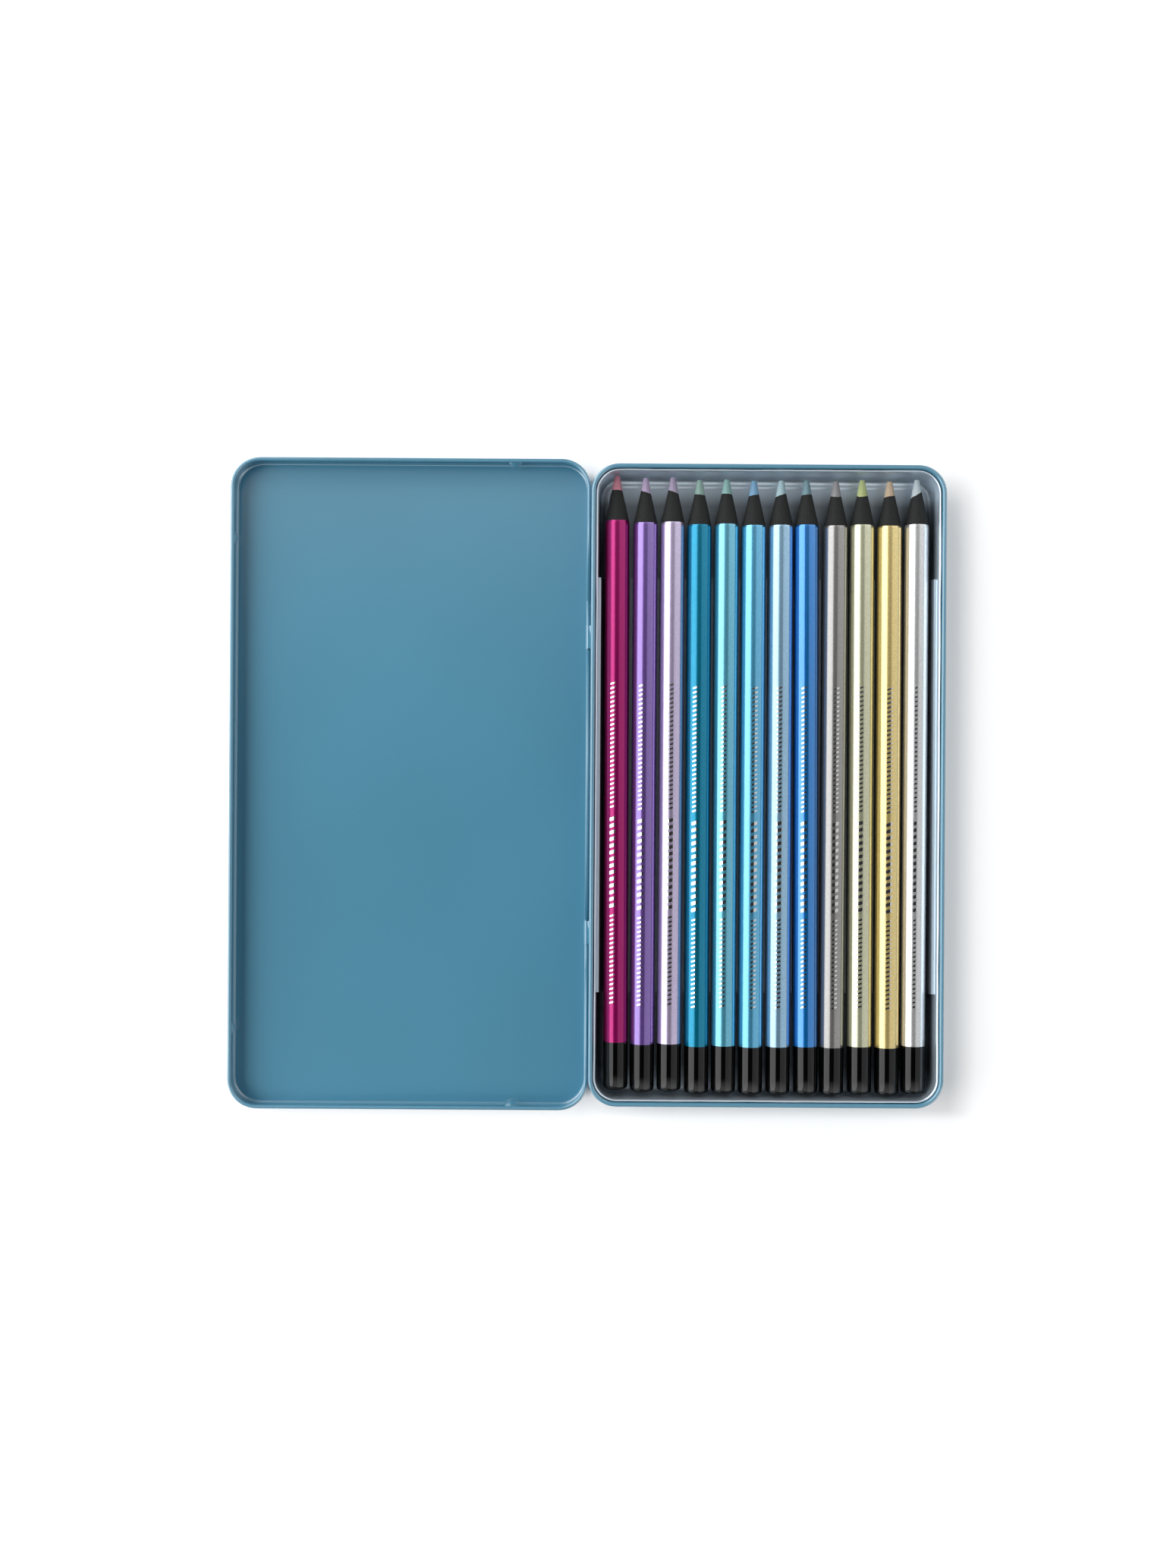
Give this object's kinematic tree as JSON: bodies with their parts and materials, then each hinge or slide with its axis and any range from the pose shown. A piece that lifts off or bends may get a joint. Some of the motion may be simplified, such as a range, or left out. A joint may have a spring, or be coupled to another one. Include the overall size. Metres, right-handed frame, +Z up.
{
  "type": "pencil tin",
  "caption": "Flat hinged metal tin lying open, with a formed silver tray that holds a row of round metallic colouring pencils with black wood and black dipped ends.",
  "frame": {"origin": "middle of the open tin's footprint, on the surface it lies on", "axes": "+Z up, +Y toward the pencil tips, +X toward the base and its pencils, with the open lid on the -X side"},
  "size_m": [0.2042, 0.1868, 0.012],
  "materials": {
    "tin_paint": "satin baked enamel on tinplate, dusty blue",
    "tray_silver": "metallised silver thermoformed sheet, glossy",
    "dyed_wood": "black dyed wood, matt, fine grain",
    "black_dip": "high gloss black dipping lacquer",
    "lacquer_magenta": "metallic lacquer, fine flake",
    "lacquer_violet": "metallic lacquer, fine flake",
    "lacquer_pale_lilac": "metallic lacquer, fine flake",
    "lacquer_teal": "metallic lacquer, fine flake",
    "lacquer_aqua": "metallic lacquer, fine flake",
    "lacquer_sky_blue": "metallic lacquer, fine flake",
    "lacquer_ice_blue": "metallic lacquer, fine flake",
    "lacquer_blue": "metallic lacquer, fine flake",
    "lacquer_gunmetal": "metallic lacquer, fine flake",
    "lacquer_champagne": "metallic lacquer, fine flake",
    "lacquer_gold": "metallic lacquer, fine flake",
    "lacquer_silver": "metallic lacquer, fine flake",
    "core_dusty_rose": "waxy pigmented core with a dull metallic shimmer",
    "core_lilac": "waxy pigmented core with a dull metallic shimmer",
    "core_mauve": "waxy pigmented core with a dull metallic shimmer",
    "core_sage": "waxy pigmented core with a dull metallic shimmer",
    "core_mint": "waxy pigmented core with a dull metallic shimmer",
    "core_steel_blue": "waxy pigmented core with a dull metallic shimmer",
    "core_pale_aqua": "waxy pigmented core with a dull metallic shimmer",
    "core_teal_grey": "waxy pigmented core with a dull metallic shimmer",
    "core_mauve_grey": "waxy pigmented core with a dull metallic shimmer",
    "core_lime_olive": "waxy pigmented core with a dull metallic shimmer",
    "core_tan": "waxy pigmented core with a dull metallic shimmer",
    "core_light_grey": "waxy pigmented core with a dull metallic shimmer"
  },
  "bodies": {
    "base": {"base_shell": "tin_paint"},
    "lid": {"lid_shell": "tin_paint"},
    "tray": {"pencil_tray": "tray_silver"},
    "pencil_01": {"pencil_01_core": "core_dusty_rose", "pencil_01_casing": "dyed_wood", "pencil_01_lacquer": "lacquer_magenta", "pencil_01_end_dip": "black_dip"},
    "pencil_02": {"pencil_02_core": "core_lilac", "pencil_02_casing": "dyed_wood", "pencil_02_lacquer": "lacquer_violet", "pencil_02_end_dip": "black_dip"},
    "pencil_03": {"pencil_03_core": "core_mauve", "pencil_03_casing": "dyed_wood", "pencil_03_lacquer": "lacquer_pale_lilac", "pencil_03_end_dip": "black_dip"},
    "pencil_04": {"pencil_04_core": "core_sage", "pencil_04_casing": "dyed_wood", "pencil_04_lacquer": "lacquer_teal", "pencil_04_end_dip": "black_dip"},
    "pencil_05": {"pencil_05_core": "core_mint", "pencil_05_casing": "dyed_wood", "pencil_05_lacquer": "lacquer_aqua", "pencil_05_end_dip": "black_dip"},
    "pencil_06": {"pencil_06_core": "core_steel_blue", "pencil_06_casing": "dyed_wood", "pencil_06_lacquer": "lacquer_sky_blue", "pencil_06_end_dip": "black_dip"},
    "pencil_07": {"pencil_07_core": "core_pale_aqua", "pencil_07_casing": "dyed_wood", "pencil_07_lacquer": "lacquer_ice_blue", "pencil_07_end_dip": "black_dip"},
    "pencil_08": {"pencil_08_core": "core_teal_grey", "pencil_08_casing": "dyed_wood", "pencil_08_lacquer": "lacquer_blue", "pencil_08_end_dip": "black_dip"},
    "pencil_09": {"pencil_09_core": "core_mauve_grey", "pencil_09_casing": "dyed_wood", "pencil_09_lacquer": "lacquer_gunmetal", "pencil_09_end_dip": "black_dip"},
    "pencil_10": {"pencil_10_core": "core_lime_olive", "pencil_10_casing": "dyed_wood", "pencil_10_lacquer": "lacquer_champagne", "pencil_10_end_dip": "black_dip"},
    "pencil_11": {"pencil_11_core": "core_tan", "pencil_11_casing": "dyed_wood", "pencil_11_lacquer": "lacquer_gold", "pencil_11_end_dip": "black_dip"},
    "pencil_12": {"pencil_12_core": "core_light_grey", "pencil_12_casing": "dyed_wood", "pencil_12_lacquer": "lacquer_silver", "pencil_12_end_dip": "black_dip"}
  },
  "joints": [
    {"name": "lid_hinge", "type": "hinge", "parent": "base", "child": "lid", "pos_m": [0.00065, 0, 0.0063], "axis": [0, -1, 0], "range_deg": [-180, 0]},
    {"name": "tray_lift", "type": "slide", "parent": "base", "child": "tray", "axis": [0, 0, 1], "range_m": [0, 0.025]},
    {"name": "pencil_01_lift", "type": "slide", "parent": "tray", "child": "pencil_01", "axis": [0, 0, 1], "range_m": [0, 0.03]},
    {"name": "pencil_02_lift", "type": "slide", "parent": "tray", "child": "pencil_02", "axis": [0, 0, 1], "range_m": [0, 0.03]},
    {"name": "pencil_03_lift", "type": "slide", "parent": "tray", "child": "pencil_03", "axis": [0, 0, 1], "range_m": [0, 0.03]},
    {"name": "pencil_04_lift", "type": "slide", "parent": "tray", "child": "pencil_04", "axis": [0, 0, 1], "range_m": [0, 0.03]},
    {"name": "pencil_05_lift", "type": "slide", "parent": "tray", "child": "pencil_05", "axis": [0, 0, 1], "range_m": [0, 0.03]},
    {"name": "pencil_06_lift", "type": "slide", "parent": "tray", "child": "pencil_06", "axis": [0, 0, 1], "range_m": [0, 0.03]},
    {"name": "pencil_07_lift", "type": "slide", "parent": "tray", "child": "pencil_07", "axis": [0, 0, 1], "range_m": [0, 0.03]},
    {"name": "pencil_08_lift", "type": "slide", "parent": "tray", "child": "pencil_08", "axis": [0, 0, 1], "range_m": [0, 0.03]},
    {"name": "pencil_09_lift", "type": "slide", "parent": "tray", "child": "pencil_09", "axis": [0, 0, 1], "range_m": [0, 0.03]},
    {"name": "pencil_10_lift", "type": "slide", "parent": "tray", "child": "pencil_10", "axis": [0, 0, 1], "range_m": [0, 0.03]},
    {"name": "pencil_11_lift", "type": "slide", "parent": "tray", "child": "pencil_11", "axis": [0, 0, 1], "range_m": [0, 0.03]},
    {"name": "pencil_12_lift", "type": "slide", "parent": "tray", "child": "pencil_12", "axis": [0, 0, 1], "range_m": [0, 0.03]}
  ]
}
